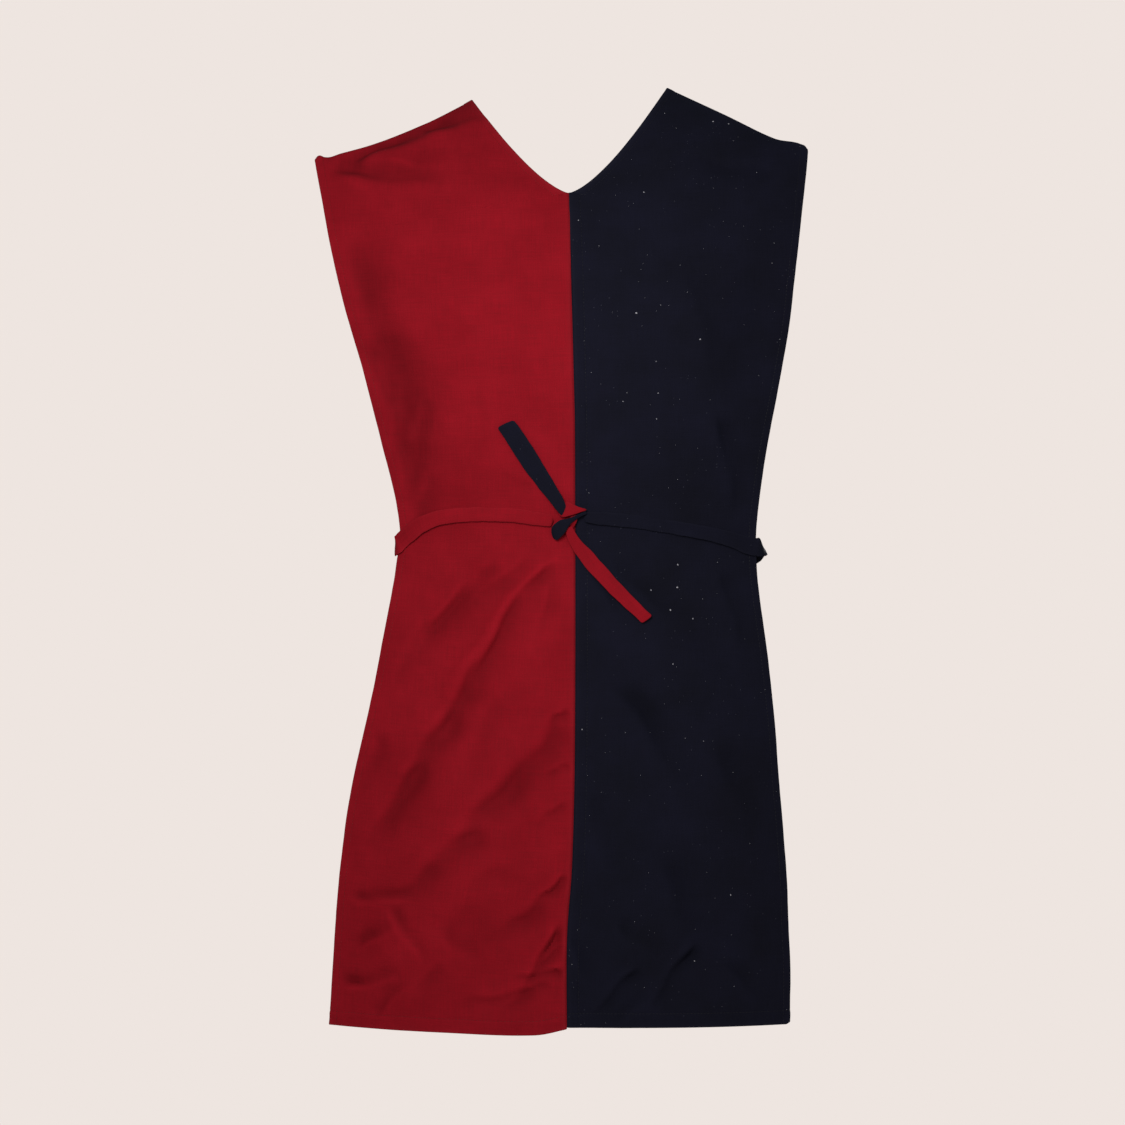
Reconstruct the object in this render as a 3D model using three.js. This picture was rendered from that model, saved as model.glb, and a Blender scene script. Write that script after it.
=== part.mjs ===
// A sleeveless tabard in two colours, shaped as it is worn: two front and two back halves hang from
// the shoulders, open at both sides, and two narrow ties sewn to the back meet in a half knot in front.
// Millimetres. +Z is up, the front faces -Y, and +X is the wearer's left.
import * as THREE from 'three';

// Cloth
const WALL = 1.5;
const GAP = 0.3;
const FRONT = -1;
const BACK = 1;

// Heights of the shape's turning points
const NECK_BOTTOM = -109;
const YOKE_SIDE = -150;
const CHEST = -250;

// The neck edge is nearly straight and rounds off at the bottom of the V
const NECK_ROUNDING = 0.7;
// How the cloth rolls off the shoulder: 1 is a straight slope, 2 a quarter ellipse
const ROLL = 1.5;

// Grid of each half: columns from seam to side, rows in the neck, the chest and the skirt
const COLUMNS = 14;
const ROW_ZONES = [8, 5, 22];

// Each half's shoulder line runs from the neck point to the tip, sagging between them
const HALVES = {
  red: { side: -1, neck: 97, neckHeight: -6, tip: 255, tipHeight: -65, sag: 0.5 },
  dark: { side: 1, neck: 98, neckHeight: 6, tip: 239, tipHeight: -57, sag: 0.05 },
};

// Distance of each side edge from the middle
const OUTLINE = [
  { height: -57, red: 256, dark: 239 },
  { height: -110, red: 245, dark: 232 },
  { height: -170, red: 232.5, dark: 224.5 },
  { height: -230, red: 217, dark: 217 },
  { height: -290, red: 200, dark: 206.5 },
  { height: -350, red: 184, dark: 195.5 },
  { height: -405, red: 171, dark: 187 },
  { height: -446, red: 166, dark: 184 },
  { height: -486, red: 170.5, dark: 185.5 },
  { height: -545, red: 182, dark: 193.5 },
  { height: -605, red: 195, dark: 200.5 },
  { height: -680, red: 212, dark: 206 },
  { height: -760, red: 224, dark: 212.5 },
  { height: -850, red: 231, dark: 216.5 },
  { height: -925, red: 235.5, dark: 216.5 },
];

// The front seam wanders a little from the middle
const FRONT_SEAM = [
  { height: -109, x: 0 },
  { height: -190, x: 1.7 },
  { height: -270, x: 3.8 },
  { height: -350, x: 5.5 },
  { height: -640, x: 5.5 },
  { height: -760, x: 2.7 },
  { height: -830, x: -2.2 },
  { height: -925, x: -2.2 },
];

// Depth of the cloth at the seam and at the side edge; a higher power is a flatter middle
const FRONT_SECTIONS = [
  { height: -150, middle: 118, side: 57, power: 2.4 },
  { height: -250, middle: 117, side: 58, power: 2.4 },
  { height: -350, middle: 108, side: 59, power: 2.3 },
  { height: -446, middle: 95, side: 48, power: 2.2 },
  { height: -520, middle: 99, side: 50, power: 2.2 },
  { height: -620, middle: 106, side: 54, power: 2.3 },
  { height: -750, middle: 111, side: 58, power: 2.4 },
  { height: -925, middle: 115, side: 62, power: 2.4 },
];
const BACK_SECTIONS = [
  { height: -150, middle: 113, side: 56, power: 2.2 },
  { height: -250, middle: 112, side: 57, power: 2.2 },
  { height: -350, middle: 99, side: 54, power: 2.3 },
  { height: -446, middle: 83, side: 44, power: 2.3 },
  { height: -540, middle: 108, side: 51, power: 2.1 },
  { height: -620, middle: 119, side: 57, power: 2.1 },
  { height: -750, middle: 119, side: 62, power: 2.2 },
  { height: -925, middle: 117, side: 65, power: 2.2 },
];

// Height of the bottom edge from the seam (reach 0) to the side (reach 1)
const HEM = [
  { reach: 0, red: -917.5, dark: -916 },
  { reach: 0.14, red: -923.5, dark: -916.2 },
  { reach: 0.5, red: -922.5, dark: -917.5 },
  { reach: 1, red: -921, dark: -920.5 },
];

// Large soft folds, as troughs (depth above 0) and ridges (below 0) from one end to the other
const FRONT_FOLDS = [
  { x1: -22, z1: -486, x2: -122, z2: -640, width: 15, depth: 4.5 },
  { x1: -100, z1: -606, x2: -200, z2: -750, width: 17, depth: 4.5 },
  { x1: -20, z1: -470, x2: -125, z2: -596, width: 13, depth: -3 },
  { x1: -88, z1: -486, x2: -150, z2: -562, width: 13, depth: 3 },
  { x1: 2, z1: -612, x2: -140, z2: -780, width: 22, depth: 4 },
  { x1: -135, z1: -836, x2: -14, z2: -798, width: 18, depth: 3 },
  { x1: -222, z1: -140, x2: -152, z2: -330, width: 22, depth: 4 },
  { x1: 26, z1: -548, x2: 128, z2: -690, width: 18, depth: 4 },
  { x1: 90, z1: -500, x2: 172, z2: -590, width: 15, depth: 3 },
  { x1: 70, z1: -700, x2: 150, z2: -870, width: 20, depth: 3.5 },
  { x1: 196, z1: -150, x2: 158, z2: -330, width: 22, depth: 4 },
];
const BACK_FOLDS = [
  { x1: -60, z1: -250, x2: -40, z2: -430, width: 22, depth: 4 },
  { x1: 55, z1: -240, x2: 46, z2: -440, width: 22, depth: 4 },
  { x1: -150, z1: -480, x2: -60, z2: -640, width: 18, depth: 4 },
  { x1: 140, z1: -490, x2: 80, z2: -660, width: 18, depth: 4 },
  { x1: -100, z1: -640, x2: -140, z2: -860, width: 24, depth: 4 },
  { x1: 30, z1: -620, x2: 60, z2: -850, width: 24, depth: 4 },
  { x1: -190, z1: -160, x2: -130, z2: -320, width: 22, depth: 3.5 },
  { x1: 190, z1: -160, x2: 140, z2: -330, width: 22, depth: 3.5 },
];

// Ties: a folded strip lying on the cloth
const TIE_THICKNESS = 2.2;
const TIE_CLEARANCE = 1;
const TIE_STEPS = 34;

// Each tie's middle line over the front, from the knot to the side edge
const RED_TIE = [
  { x: -17.5, z: -427, width: 11 },
  { x: -27, z: -426, width: 12.5 },
  { x: -40, z: -424, width: 13 },
  { x: -62, z: -422, width: 13.5 },
  { x: -105, z: -422, width: 14 },
  { x: -127, z: -425, width: 14.5 },
  { x: -143, z: -431, width: 16 },
  { x: -157, z: -441, width: 18 },
];
const DARK_TIE = [
  { x: 18.5, z: -425.5, width: 12 },
  { x: 28, z: -426, width: 12 },
  { x: 48, z: -427, width: 12.5 },
  { x: 79, z: -431, width: 12.5 },
  { x: 105, z: -435, width: 13 },
  { x: 134, z: -440, width: 13.5 },
  { x: 160, z: -446.5, width: 15.5 },
  { x: 175, z: -452, width: 17.5 },
];

// Beyond the side edge each tie swings clear of the cloth and is sewn to the outside of the back
const TIE_SIDES = {
  red: { bulge: 170, height: -457, sewn: 146, sewnHeight: -461, width: 19 },
  dark: { bulge: 195, height: -460, sewn: 162, sewnHeight: -463, width: 19 },
};

// Free ends, from under the knot to the cut end; lift is the height above the cloth
const DARK_TAIL = [
  { x: 0, z: -424.5, width: 9, lift: 6.3 },
  { x: -7, z: -414.5, width: 10.5, lift: 6.3 },
  { x: -12, z: -407, width: 12, lift: 4 },
  { x: -21, z: -392, width: 15, lift: 1.6 },
  { x: -33, z: -374, width: 18, lift: 1.2 },
  { x: -47, z: -354, width: 18, lift: 2 },
  { x: -62.5, z: -332, width: 17, lift: 3.5 },
];
const RED_TAIL = [
  { x: 1, z: -431, width: 9, lift: 5.8 },
  { x: 4.5, z: -441, width: 10.5, lift: 5.8 },
  { x: 8, z: -451, width: 13, lift: 4 },
  { x: 17, z: -462, width: 14, lift: 1.6 },
  { x: 34, z: -481, width: 15, lift: 1.2 },
  { x: 54, z: -503, width: 15.5, lift: 1.8 },
  { x: 73.5, z: -525.5, width: 16, lift: 3 },
];

// The knot's two turns. Each is a strip in a plane square to the cloth: along is the way it runs
// over the cloth from the turn's middle, lift its inner face's height above the cloth
const DARK_TURN = {
  middle: { x: -3.5, z: -433.5 },
  angle: 203,
  width: 11,
  path: [
    { along: -20.5, lift: 1.8 },
    { along: -16, lift: 3.8 },
    { along: -11.5, lift: 7.6 },
    { along: -7, lift: 9 },
    { along: 0, lift: 9 },
    { along: 7, lift: 8.6 },
    { along: 11.5, lift: 6.8 },
    { along: 12.6, lift: 4.4 },
    { along: 11, lift: 1.9 },
    { along: 6, lift: 0.8 },
    { along: 0, lift: 0.8 },
  ],
};
const RED_TURN = {
  middle: { x: 0, z: -418.3 },
  angle: 18,
  width: 9.6,
  path: [
    { along: -17, lift: 1.2 },
    { along: -12, lift: 2.4 },
    { along: -6, lift: 3.1 },
    { along: 1, lift: 3.1 },
    { along: 8, lift: 3.4 },
    { along: 12.4, lift: 4.8 },
    { along: 13.4, lift: 6.8 },
    { along: 11.5, lift: 8.7 },
    { along: 6, lift: 9.3 },
    { along: -1, lift: 9.3 },
    { along: -6, lift: 9.1 },
  ],
};
const TURN_STEPS = 22;

const CLOTH = {
  red: { color: 0x8a141d, roughness: 0.85 },
  dark: { color: 0x17171f, roughness: 0.9 },
};

// Reads one column of a table at a height or reach, smoothly between its rows
function read(rows, key, column, at) {
  const order = Math.sign(rows[rows.length - 1][key] - rows[0][key]);
  const last = rows.length - 1;
  if ((at - rows[0][key]) * order <= 0) return rows[0][column];
  if ((at - rows[last][key]) * order >= 0) return rows[last][column];
  let i = 0;
  while ((at - rows[i + 1][key]) * order > 0) i += 1;
  const slope = (a, b) => (rows[b][column] - rows[a][column]) / (rows[b][key] - rows[a][key]);
  const span = rows[i + 1][key] - rows[i][key];
  const t = (at - rows[i][key]) / span;
  const startSlope = slope(Math.max(i - 1, 0), i + 1) * span;
  const endSlope = slope(i, Math.min(i + 2, last)) * span;
  const start = rows[i][column];
  const end = rows[i + 1][column];
  const rise = end - start;
  return start + startSlope * t + (3 * rise - 2 * startSlope - endSlope) * t ** 2
    + (startSlope + endSlope - 2 * rise) * t ** 3;
}

function seamX(face, z) {
  return face === FRONT ? read(FRONT_SEAM, 'height', 'x', z) : 0;
}

function edgeX(half, z) {
  return HALVES[half].side * read(OUTLINE, 'height', half, z);
}

// Height of a half's shoulder line above the point x
function shoulderHeight(half, x) {
  const { neck, neckHeight, tip, tipHeight, sag } = HALVES[half];
  const along = THREE.MathUtils.clamp((Math.abs(x) - neck) / (tip - neck), 0, 1);
  return neckHeight + (tipHeight - neckHeight) * (along + sag * along * (1 - along));
}

// How far the folds push the cloth towards the body at a point
function foldDepth(face, x, z) {
  const folds = face === FRONT ? FRONT_FOLDS : BACK_FOLDS;
  let total = 0;
  for (const { x1, z1, x2, z2, width, depth } of folds) {
    const length = Math.hypot(x2 - x1, z2 - z1);
    const along = ((x - x1) * (x2 - x1) + (z - z1) * (z2 - z1)) / length ** 2;
    const across = ((x - x1) * (z2 - z1) - (z - z1) * (x2 - x1)) / length;
    if (along > 0 && along < 1) {
      total += depth * Math.sin(Math.PI * along) * Math.exp(-((across / width) ** 2));
    }
  }
  return total;
}

// The cloth's outer surface: its y above any point of the front or back
function clothY(face, x, z) {
  const seam = seamX(face, z);
  const half = x < seam ? 'red' : 'dark';
  const reach = Math.abs(x - seam) / Math.abs(edgeX(half, z) - seam);
  const sections = face === FRONT ? FRONT_SECTIONS : BACK_SECTIONS;
  const middle = read(sections, 'height', 'middle', z);
  const side = read(sections, 'height', 'side', z);
  const power = read(sections, 'height', 'power', z);
  const full = middle + (side - middle) * reach ** power;
  const shoulder = shoulderHeight(half, x);
  const fall = THREE.MathUtils.clamp((shoulder - z) / (shoulder - CHEST), 0, 1);
  const rolled = (1 - (1 - fall) ** ROLL) ** (1 / ROLL);
  return face * (GAP / 2 + full * rolled - foldDepth(face, x, z) * rolled);
}

// Outward direction of the cloth at a point clear of the shoulder line
function clothNormal(face, x, z) {
  const step = 2;
  const slopeX = (clothY(face, x + step, z) - clothY(face, x - step, z)) / (2 * step);
  const slopeZ = (clothY(face, x, z + step) - clothY(face, x, z - step)) / (2 * step);
  return new THREE.Vector3(-slopeX, 1, -slopeZ).multiplyScalar(face).normalize();
}

// A point on a half: u runs from seam to side edge, v through the neck (0 to 1), chest and skirt (to 3)
function panelPoint(half, face, u, v) {
  const { side, neck, neckHeight, tip, tipHeight, sag } = HALVES[half];
  const seam = (z) => seamX(face, z) + side * GAP / 2;
  let x;
  let z;
  if (v < 1) {
    const fall = (1 - Math.cos(Math.PI * v)) / 2;
    const inner = seam(NECK_BOTTOM) + side * neck * (1 - fall) ** NECK_ROUNDING;
    const innerHeight = THREE.MathUtils.lerp(neckHeight, NECK_BOTTOM, fall);
    const outerHeight = THREE.MathUtils.lerp(tipHeight, YOKE_SIDE, fall);
    const outer = v === 0 ? side * tip : edgeX(half, outerHeight);
    x = THREE.MathUtils.lerp(inner, outer, u);
    z = THREE.MathUtils.lerp(innerHeight, outerHeight, u + (1 - fall) * sag * u * (1 - u));
  } else if (v < 2) {
    z = THREE.MathUtils.lerp(THREE.MathUtils.lerp(NECK_BOTTOM, YOKE_SIDE, u), CHEST, v - 1);
    x = THREE.MathUtils.lerp(seam(z), edgeX(half, z), u);
  } else {
    z = THREE.MathUtils.lerp(CHEST, read(HEM, 'reach', half, u), v - 2);
    x = THREE.MathUtils.lerp(seam(z), edgeX(half, z), u);
  }
  return new THREE.Vector3(x, clothY(face, x, z), z);
}

// Outward direction on a half. Along the shoulder line and the seam the wall stays square to its joint
function panelNormal(half, face, u, v) {
  const step = 0.01;
  const zoneStart = Math.min(Math.floor(v), 2);
  const before = Math.max(v - step, zoneStart);
  const after = Math.min(v + step, zoneStart + 1 - step / 10);
  const across = panelPoint(half, face, Math.min(u + step, 1), v);
  across.sub(panelPoint(half, face, Math.max(u - step, 0), v));
  const down = panelPoint(half, face, u, after).sub(panelPoint(half, face, u, before));
  const normal = across.cross(down).normalize();
  if (v === 0) normal.y = 0;
  if (u === 0 && v >= 1) normal.x = 0;
  if (v === 0 && normal.z < 0) normal.negate();
  if (v > 0 && normal.y * face < 0) normal.negate();
  return normal.normalize();
}

function solid(name, half, points, faces) {
  const geometry = new THREE.BufferGeometry();
  geometry.setAttribute('position', new THREE.Float32BufferAttribute(points.flatMap((p) => [...p]), 3));
  geometry.setIndex(faces.flat());
  geometry.computeVertexNormals();
  const mesh = new THREE.Mesh(geometry, new THREE.MeshStandardMaterial({ ...CLOTH[half], metalness: 0 }));
  mesh.name = name;
  return mesh;
}

// One half: an outer and an inner sheet joined round their edge
function panel(half, face) {
  const rows = [0];
  ROW_ZONES.forEach((count, zone) => {
    for (let i = 1; i <= count; i += 1) rows.push(zone + i / count);
  });
  const outer = [];
  const inner = [];
  for (const v of rows) {
    for (let i = 0; i <= COLUMNS; i += 1) {
      const u = i / COLUMNS;
      const point = panelPoint(half, face, u, v);
      outer.push(point);
      inner.push(point.clone().addScaledVector(panelNormal(half, face, u, v), -WALL));
    }
  }
  const wide = COLUMNS + 1;
  const under = outer.length;
  const turned = HALVES[half].side * face < 0;
  const faces = [];
  const quad = (a, b, c, d) => {
    const ring = turned ? [d, c, b, a] : [a, b, c, d];
    faces.push([ring[0], ring[1], ring[2]], [ring[0], ring[2], ring[3]]);
  };
  const lastRow = rows.length - 1;
  for (let r = 0; r < lastRow; r += 1) {
    for (let c = 0; c < COLUMNS; c += 1) {
      const a = r * wide + c;
      quad(a, a + 1, a + 1 + wide, a + wide);
      quad(under + a + wide, under + a + wide + 1, under + a + 1, under + a);
    }
    const left = r * wide;
    const right = left + COLUMNS;
    quad(left, left + wide, under + left + wide, under + left);
    quad(right + wide, right, under + right, under + right + wide);
  }
  for (let c = 0; c < COLUMNS; c += 1) {
    const low = lastRow * wide + c;
    quad(c + 1, c, under + c, under + c + 1);
    quad(low, low + 1, under + low + 1, under + low);
  }
  return solid(`${face === FRONT ? 'front' : 'back'}_${half}`, half, [...outer, ...inner], faces);
}

// A flat strip with rounded edges through stations. A free station has its inner face's middle and
// directions, and one on the cloth a point of the cloth, so that its edges follow the cloth too
function strip(name, half, stations) {
  const section = [[-0.5, 0.5], [-0.38, 0], [0.38, 0], [0.5, 0.5], [0.38, 1], [-0.38, 1]];
  const sides = section.length;
  const points = stations.flatMap((station) => section.map(([a, h]) => {
    const { at, across, out, width, face, lift } = station;
    const point = at.clone().addScaledVector(across, a * width);
    if (!face) return point.addScaledVector(out, h * TIE_THICKNESS);
    point.y = clothY(face, point.x, point.z);
    return point.addScaledVector(clothNormal(face, point.x, point.z), lift + h * TIE_THICKNESS);
  }));
  const faces = [];
  for (let s = 0; s < stations.length - 1; s += 1) {
    for (let k = 0; k < sides; k += 1) {
      const a = s * sides + k;
      const b = s * sides + (k + 1) % sides;
      faces.push([a, b, b + sides], [a, b + sides, a + sides]);
    }
  }
  const end = (stations.length - 1) * sides;
  for (let k = 1; k < sides - 1; k += 1) {
    faces.push([0, k + 1, k], [end, end + k, end + k + 1]);
  }
  return solid(name, half, points, faces);
}

// A station lying on the cloth, facing along a direction
function onCloth(face, x, z, lift, forward, width) {
  const across = new THREE.Vector3().crossVectors(clothNormal(face, x, z), forward).normalize();
  return { at: new THREE.Vector3(x, clothY(face, x, z), z), across, width, face, lift };
}

// A tie's stretch round the waist, from beside the knot to where it is sewn to the back
function waistTie(half, front) {
  const { bulge, height, sewn, sewnHeight, width } = TIE_SIDES[half];
  const { side } = HALVES[half];
  const lifted = (face, x, z) => {
    const point = new THREE.Vector3(x, clothY(face, x, z), z);
    return point.addScaledVector(clothNormal(face, x, z), TIE_CLEARANCE);
  };
  const pastEdge = Math.abs(edgeX(half, height)) + 2.5;
  const guide = new THREE.CatmullRomCurve3([
    ...front.map(({ x, z }) => lifted(FRONT, x, z)),
    lifted(FRONT, side * pastEdge, height + 3),
    new THREE.Vector3(side * bulge, -16, height),
    new THREE.Vector3(side * bulge, 16, height - 1),
    lifted(BACK, side * pastEdge, sewnHeight),
    lifted(BACK, side * sewn, sewnHeight),
  ], false, 'centripetal');
  const stations = [];
  for (let i = 0; i <= TIE_STEPS; i += 1) {
    const point = guide.getPointAt(i / TIE_STEPS);
    const forward = guide.getTangentAt(i / TIE_STEPS);
    const face = point.y < 0 ? FRONT : BACK;
    const reach = point.x * side;
    if (reach < Math.abs(edgeX(half, point.z)) + 2) {
      const wide = face === FRONT ? read(front, 'x', 'width', point.x) : width;
      stations.push(onCloth(face, point.x, point.z, TIE_CLEARANCE, forward, wide));
    } else {
      const out = new THREE.Vector3(forward.y, -forward.x, 0).multiplyScalar(side).normalize();
      const across = new THREE.Vector3().crossVectors(out, forward).normalize();
      stations.push({ at: point, across, out, width });
    }
  }
  return strip(`belt_${half}`, half, stations);
}

// A tie's free end
function tail(half, rows) {
  const stations = rows.map(({ x, z, width, lift }, i) => {
    const from = rows[Math.max(i - 1, 0)];
    const to = rows[Math.min(i + 1, rows.length - 1)];
    return onCloth(FRONT, x, z, lift, new THREE.Vector3(to.x - from.x, 0, to.z - from.z), width);
  });
  return strip(`tail_${half}`, half, stations);
}

// A tie's turn in the knot
function turn(half, { middle, angle, width, path }) {
  const radians = THREE.MathUtils.degToRad(angle);
  const run = new THREE.Vector3(Math.cos(radians), 0, Math.sin(radians));
  const off = new THREE.Vector3(0, FRONT, 0);
  const across = new THREE.Vector3().crossVectors(off, run);
  const base = new THREE.Vector3(middle.x, clothY(FRONT, middle.x, middle.z), middle.z);
  const guide = new THREE.CatmullRomCurve3(path.map(({ along, lift }) => (
    base.clone().addScaledVector(run, along).addScaledVector(off, lift + TIE_THICKNESS / 2)
  )), false, 'centripetal');
  const stations = [];
  for (let i = 0; i <= TURN_STEPS; i += 1) {
    const forward = guide.getTangentAt(i / TURN_STEPS);
    const out = new THREE.Vector3().crossVectors(forward, across).normalize();
    const at = guide.getPointAt(i / TURN_STEPS).addScaledVector(out, -TIE_THICKNESS / 2);
    stations.push({ at, across, out, width });
  }
  return strip(`knot_${half}`, half, stations);
}

const tabard = new THREE.Group();
tabard.add(
  panel('red', FRONT),
  panel('dark', FRONT),
  panel('red', BACK),
  panel('dark', BACK),
  waistTie('red', RED_TIE),
  waistTie('dark', DARK_TIE),
  turn('red', RED_TURN),
  turn('dark', DARK_TURN),
  tail('red', RED_TAIL),
  tail('dark', DARK_TAIL),
);

export default tabard;
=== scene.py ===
import math

import bpy
import numpy as np
from mathutils import Matrix


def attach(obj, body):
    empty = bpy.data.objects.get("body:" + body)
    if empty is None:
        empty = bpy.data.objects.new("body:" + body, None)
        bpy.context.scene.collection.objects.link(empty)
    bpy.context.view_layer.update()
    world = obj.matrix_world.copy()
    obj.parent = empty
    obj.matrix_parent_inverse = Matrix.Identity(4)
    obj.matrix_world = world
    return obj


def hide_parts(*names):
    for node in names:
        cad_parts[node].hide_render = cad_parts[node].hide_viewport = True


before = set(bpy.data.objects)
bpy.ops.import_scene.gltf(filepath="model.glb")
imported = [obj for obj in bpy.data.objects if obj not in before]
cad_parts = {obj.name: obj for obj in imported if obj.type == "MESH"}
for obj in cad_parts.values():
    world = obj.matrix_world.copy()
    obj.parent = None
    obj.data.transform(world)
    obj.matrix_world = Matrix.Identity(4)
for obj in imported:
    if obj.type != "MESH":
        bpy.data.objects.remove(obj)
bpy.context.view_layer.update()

scene = bpy.context.scene

# ---- Camera, floor and lamps
# The garment is looked at level from 3 m in front, at the height of its waist. It hangs clear of a
# plain pale floor, as on a stand, in a pale room. A soft lamp in front, left of the camera, picks out
# the creases, a weak one on the right fills them, and a third lights the back.


def linear(code):
    """Turns an sRGB hex colour to linear red, green, blue and alpha."""
    parts = [int(code[i:i + 2], 16) / 255 for i in (0, 2, 4)]
    return [c / 12.92 if c <= 0.04045 else ((c + 0.055) / 1.055) ** 2.4 for c in parts] + [1]


def add(tree, kind, sockets, **settings):
    """Adds a node with its settings, and fills or links its sockets."""
    node = tree.nodes.new(kind)
    for name, value in settings.items():
        setattr(node, name, value)
    for name, value in sockets.items():
        if isinstance(value, bpy.types.NodeSocket):
            tree.links.new(value, node.inputs[name])
        else:
            node.inputs[name].default_value = value
    return node


def new_material(name):
    """An empty node material and its tree."""
    material = bpy.data.materials.new(name)
    material.use_nodes = True
    material.node_tree.nodes.clear()
    return material, material.node_tree


camera_data = bpy.data.cameras.new("camera")
camera_data.sensor_width = 36
camera_data.lens = 96
camera = bpy.data.objects.new("camera", camera_data)
camera.location = (-0.0065, -3.0, -0.4685)
camera.rotation_euler = (math.radians(90), 0, 0)
scene.collection.objects.link(camera)
scene.camera = camera
scene.view_settings.view_transform = "Standard"

LAMPS = [
    # name, place, point it faces, size in metres, watts
    ("key_lamp", (-0.22, -1.2, -0.1), (0, 0, -0.22), 0.5, 10.2),
    ("right_lamp", (1.3, -1.6, -0.4), (0.1, 0, -0.35), 1.2, 4),
    ("back_lamp", (0.35, 1.5, -0.1), (0, 0, -0.3), 0.6, 17),
]
for name, place, faced, size, watts in LAMPS:
    lamp = bpy.data.lights.new(name, "AREA")
    lamp.shape = "SQUARE"
    lamp.size = size
    lamp.energy = watts
    holder = bpy.data.objects.new(name, lamp)
    holder.location = place
    holder.visible_camera = False
    to_target = np.array(faced) - np.array(place)
    holder.rotation_euler = (
        math.atan2(math.hypot(to_target[0], to_target[1]), -to_target[2]),
        0,
        math.atan2(to_target[1], to_target[0]) - math.pi / 2,
    )
    scene.collection.objects.link(holder)

world = bpy.data.worlds.new("pale_room")
world.use_nodes = True
world.node_tree.nodes.clear()
seen = add(world.node_tree, "ShaderNodeBackground", {"Color": linear("EEE5E0"), "Strength": 1.0})
lit = add(world.node_tree, "ShaderNodeBackground", {"Color": linear("F4F1F0"), "Strength": 0.2})
ray = add(world.node_tree, "ShaderNodeLightPath", {})
room = add(world.node_tree, "ShaderNodeMixShader", {
    0: ray.outputs["Is Camera Ray"], 1: lit.outputs[0], 2: seen.outputs[0]})
add(world.node_tree, "ShaderNodeOutputWorld", {"Surface": room.outputs[0]})
scene.world = world

bpy.ops.object.select_all(action="DESELECT")
bpy.ops.mesh.primitive_circle_add(vertices=96, radius=1.9, fill_type="NGON", location=(0, 0, -1.45))
floor = bpy.context.object
floor.name = "floor"
bpy.ops.object.transform_apply(location=True, rotation=True, scale=True)
# Matt floor paint, rolled, with the faintest unevenness
floor_paint, tree = new_material("matt_floor_paint")
place = add(tree, "ShaderNodeTexCoord", {})
mottle = add(tree, "ShaderNodeTexNoise", {"Vector": place.outputs["Object"], "Scale": 3.0})
tone = add(tree, "ShaderNodeMix", {
    0: mottle.outputs["Fac"], 6: linear("E9E3DF"), 7: linear("F0EAE6")}, data_type="RGBA")
paint = add(tree, "ShaderNodeBsdfPrincipled", {"Base Color": tone.outputs[2], "Roughness": 0.8})
add(tree, "ShaderNodeOutputMaterial", {"Surface": paint.outputs[0]})
floor.data.materials.append(floor_paint)

# ---- The canvas halves of the front and the back
# Four pieces of medium-weight cotton canvas, crimson for the wearer's right and blue-black for the
# left, cut alike for front and back. Front and back are sewn together along the shoulders, and the
# two colours along the middle. The free edges are turned in and stitched, and the sides stay open.

MM = 0.001
FRONT, BACK = -1, 1
CANVAS_THICK = 1.2
# heights of the neck's lowest point, of the yoke at the side edge, and of the chest
NECK_BOTTOM, YOKE_SIDE, CHEST = -109, -150, -250
# powers that round off the bottom of the neck, and the roll over the shoulder
NECK_ROUNDING, ROLL = 0.7, 1.5
# sewn edges lap by a hair, so that no light comes through a seam
SEAM_LAP = 0.01

# side, distance of the neck point, its height, distance of the tip, its height, sag between
HALVES = {
    "red": (-1, 97, -6, 255, -65, 0.5),
    "dark": (1, 98, 6, 239, -57, 0.05),
}
# height, then the side edges' distances from the middle, crimson and dark
OUTLINE = [
    (-57, 256, 239), (-110, 245, 232), (-170, 232.5, 224.5), (-230, 217, 217), (-290, 200, 206.5),
    (-350, 184, 195.5), (-405, 171, 187), (-446, 166, 184), (-464, 169.3, 184.4),
    (-486, 172.6, 185.5), (-545, 183.6, 193.5), (-605, 195, 200.5), (-680, 212, 206), (-760, 224, 212.5),
    (-850, 231, 216.5), (-925, 235.5, 216.5),
]
# height, then how far the front's middle seam has wandered towards the wearer's left
FRONT_SEAM = [
    (-109, 0), (-190, 1.7), (-270, 3.8), (-350, 5.5), (-640, 5.5), (-760, 2.7), (-830, -2.2),
    (-925, -2.2),
]
# height, depth at the seam, depth at the side, power of the curve between
SECTIONS = {
    FRONT: [
        (-150, 118, 57, 2.4), (-250, 117, 58, 2.4), (-350, 108, 59, 2.3), (-446, 95, 48, 2.2),
        (-520, 99, 50, 2.2), (-620, 106, 54, 2.3), (-750, 111, 58, 2.4), (-925, 115, 62, 2.4),
    ],
    BACK: [
        (-150, 113, 56, 2.2), (-250, 112, 57, 2.2), (-350, 99, 54, 2.3), (-446, 83, 44, 2.3),
        (-540, 108, 51, 2.1), (-620, 119, 57, 2.1), (-750, 119, 62, 2.2), (-925, 117, 65, 2.2),
    ],
}
# share of the way from seam to side, then the hem's height, crimson and dark
HEM = [(0, -917.5, -916), (0.14, -923.5, -916.2), (0.5, -922.5, -917.5), (1, -921, -920.5)]
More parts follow.
